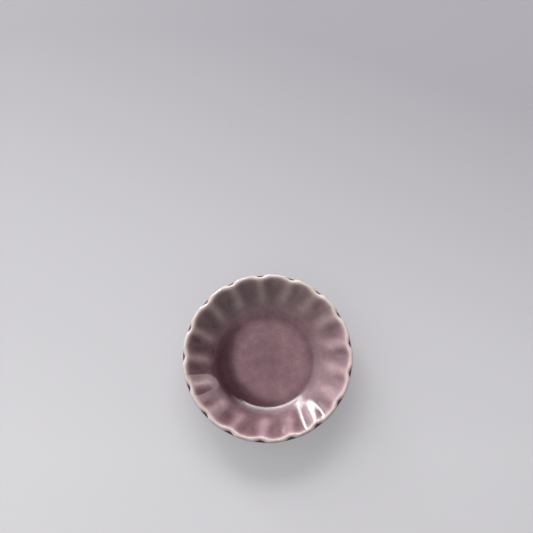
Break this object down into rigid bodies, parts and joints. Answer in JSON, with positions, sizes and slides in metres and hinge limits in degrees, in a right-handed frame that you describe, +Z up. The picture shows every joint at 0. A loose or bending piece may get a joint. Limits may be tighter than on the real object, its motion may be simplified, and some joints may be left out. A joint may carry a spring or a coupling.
{
  "type": "soy sauce dish",
  "caption": "Small round fluted dish of glazed stoneware with a flat-bottomed well, a scalloped pale lip and a low ring foot.",
  "frame": {"origin": "centre of the circle on which the foot ring rests, in the plane of the table", "axes": "+Z up along the dish's axis; +X through the middle of one petal"},
  "size_m": [0.0908, 0.091, 0.02],
  "materials": {
    "clay": "bare fired stoneware, dry and slightly grainy",
    "well_glaze": "glossy mauve glaze, darker where it pools and paler on the ridges",
    "lip_glaze": "glossy glaze, pale because it is thin",
    "outer_glaze": "glossy mauve glaze, dark plum where it is thick in the nicks"
  },
  "bodies": {
    "root": {"clay_body": "clay", "foot_ring": "clay", "inner_glaze": "well_glaze", "lip_glaze": "lip_glaze", "outer_glaze": "outer_glaze", "base_glaze": "outer_glaze"}
  },
  "joints": []
}
